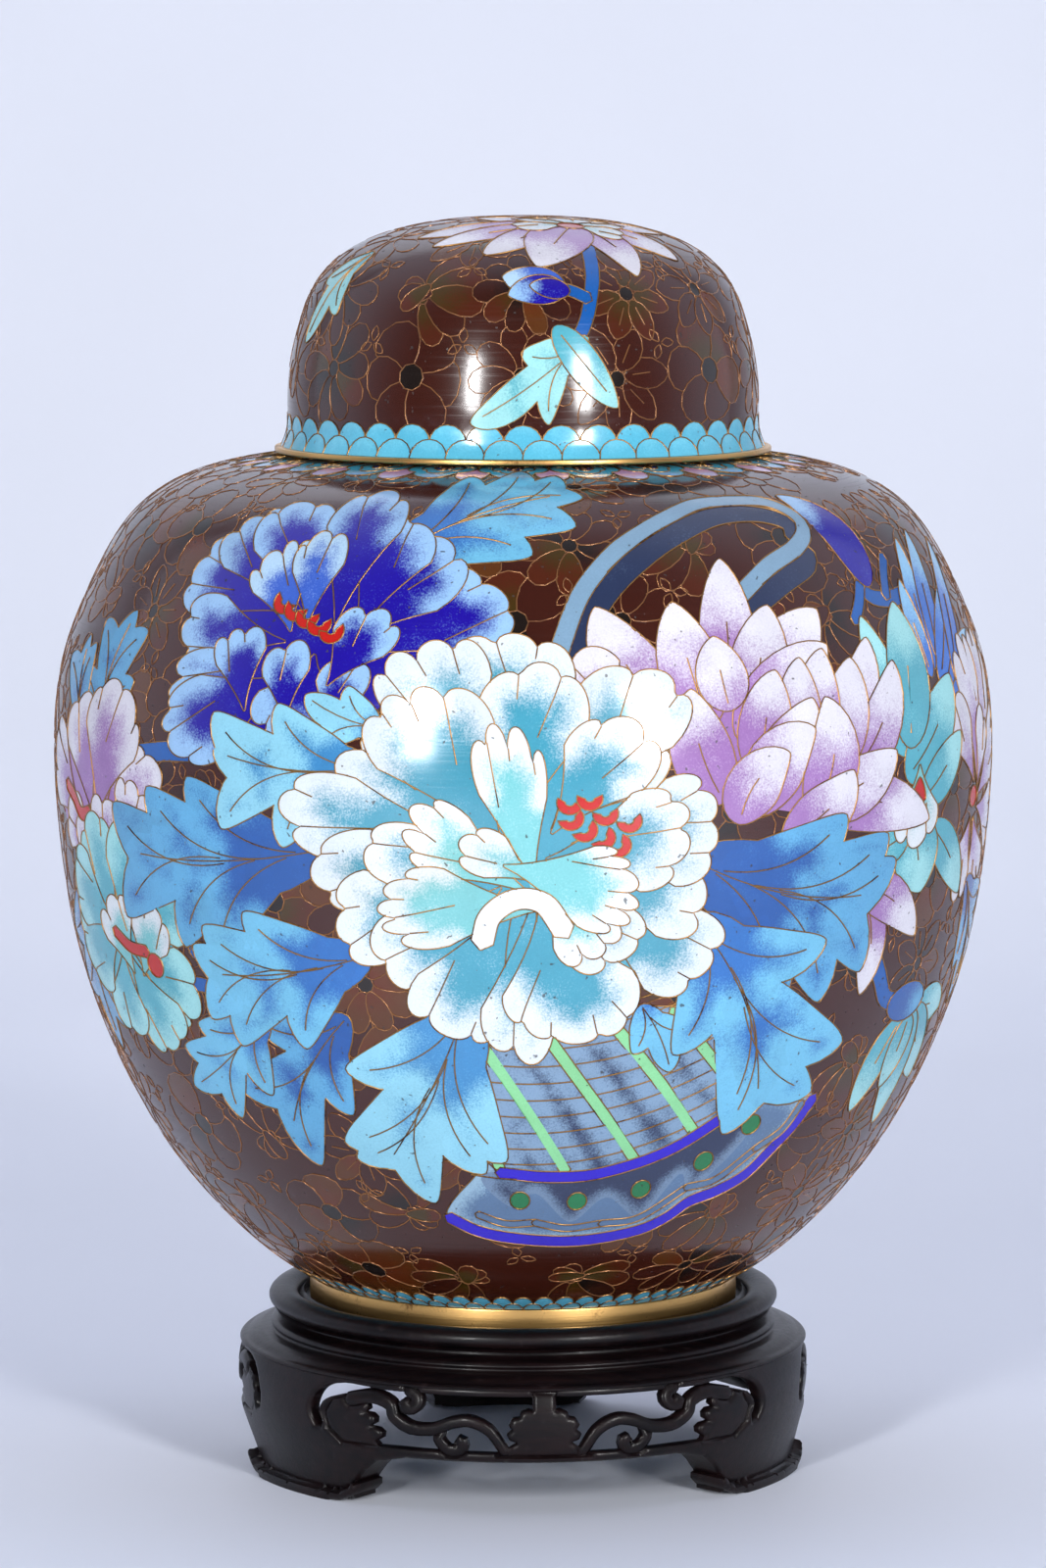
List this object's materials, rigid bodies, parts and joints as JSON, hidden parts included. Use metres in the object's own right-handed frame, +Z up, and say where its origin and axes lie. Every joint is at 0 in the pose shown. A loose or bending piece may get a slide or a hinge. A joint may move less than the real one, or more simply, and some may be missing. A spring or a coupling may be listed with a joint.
{
  "type": "cloisonne potiche",
  "caption": "Lidded ginger jar in floral cloisonne enamel on copper, hollow, with gilt neck, foot and lid rims, resting on a turned and pierced dark hardwood stand.",
  "frame": {"origin": "on the floor, under the axis of the jar", "axes": "+Z up along the jar's axis, -Y towards the front with the flower basket, +X to the viewer's right"},
  "size_m": [0.2624, 0.2624, 0.3505],
  "materials": {
    "enamel": "glossy fired enamel, polished flush with its wires",
    "gilt_brass": "gilt, brushed along the turning",
    "stand_wood": "dark stained and lacquered"
  },
  "bodies": {
    "root": {"jar_shell": "enamel", "jar_neck": "gilt_brass", "jar_foot_ring": "gilt_brass", "lid_dome": "enamel", "lid_rim": "gilt_brass", "stand_ring": "stand_wood", "stand_base": "stand_wood"}
  },
  "joints": []
}
